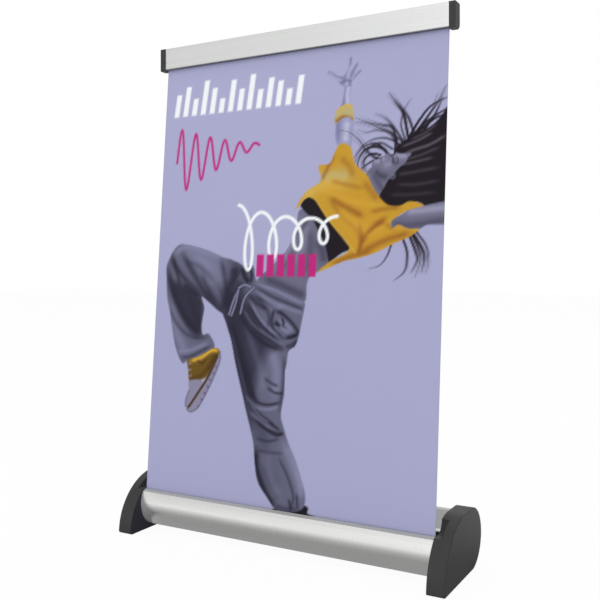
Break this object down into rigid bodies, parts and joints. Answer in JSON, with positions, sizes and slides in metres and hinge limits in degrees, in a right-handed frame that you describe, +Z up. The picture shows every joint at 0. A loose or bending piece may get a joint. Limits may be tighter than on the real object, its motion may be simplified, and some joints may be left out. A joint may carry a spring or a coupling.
{
  "type": "roll-up banner stand",
  "caption": "Tabletop roll-up banner stand: sprung roller in a low casing on two end-plate feet, printed film, top rail and a folding telescopic pole behind it.",
  "frame": {"origin": "on the table, midway between the two end plates and midway between the front and back of the feet", "axes": "+Z up, +Y to the back (the banner faces -Y), +X to the right seen from the front"},
  "size_m": [0.232, 0.0678, 0.338],
  "materials": {
    "casing": "satin anodised",
    "feet": "fine matt moulded",
    "pads": "matt",
    "steel": "drawn",
    "spring_steel": "drawn",
    "roller_metal": "mill",
    "white_plastic": "moulded",
    "black_plastic": "moulded",
    "film": "printed film, satin",
    "plain_film": "plain film, satin",
    "rail_metal": "satin anodised",
    "pole_metal": "satin anodised"
  },
  "bodies": {
    "base": {"base_casing": "casing", "end_plate_left": "feet", "end_plate_right": "feet", "foot_pads_left": "pads", "foot_pads_right": "pads", "spring_arbor": "steel", "spring_anchor": "white_plastic", "roller_stub_pin": "steel", "roller_washer_left": "white_plastic", "roller_washer_right": "white_plastic", "pole_bracket": "black_plastic", "bracket_screws": "steel", "pole_hinge_pin": "steel"},
    "roller": {"roller_tube": "roller_metal", "roller_plug_left": "white_plastic", "roller_plug_right": "white_plastic", "torsion_spring": "spring_steel", "leader_film": "plain_film", "banner_winding": "film"},
    "rail": {"rail_extrusion": "rail_metal", "rail_clamp_strip": "white_plastic", "rail_cap_left": "feet", "rail_cap_right": "feet", "banner_panel": "film"},
    "pole_lower": {"pole_knuckle": "black_plastic", "pole_lower_tube": "pole_metal", "pole_lower_collar": "black_plastic"},
    "pole_middle": {"pole_middle_plug": "white_plastic", "pole_middle_tube": "pole_metal", "pole_middle_collar": "black_plastic"},
    "pole_upper": {"pole_upper_plug": "white_plastic", "pole_upper_tube": "pole_metal", "pole_head": "black_plastic"}
  },
  "joints": [
    {"name": "rail_lift", "type": "slide", "parent": "base", "child": "rail", "axis": [0, 0.0823, 0.9966], "range_m": [-0.2942, 0], "deforming": ["banner_panel"]},
    {"name": "roller_spin", "type": "hinge", "parent": "base", "child": "roller", "pos_m": [0, -0.0085, 0.0165], "axis": [1, 0, 0], "range_deg": [0, 1631], "deforming": ["torsion_spring"]},
    {"name": "pole_fold", "type": "hinge", "parent": "base", "child": "pole_lower", "pos_m": [0, 0.0175, 0.044], "axis": [-1, 0, 0], "range_deg": [0, 85.5]},
    {"name": "pole_middle_slide", "type": "slide", "parent": "pole_lower", "child": "pole_middle", "axis": [0, 0, 1], "range_m": [-0.072, 0]},
    {"name": "pole_upper_slide", "type": "slide", "parent": "pole_middle", "child": "pole_upper", "axis": [0, 0, 1], "range_m": [-0.072, 0]}
  ],
  "couplings": [
    {"joint": "roller_spin", "follows": "rail_lift", "rad_per_m": -96.618},
    {"joint": "pole_fold", "follows": "rail_lift", "rad_per_m": -5.0426}
  ]
}
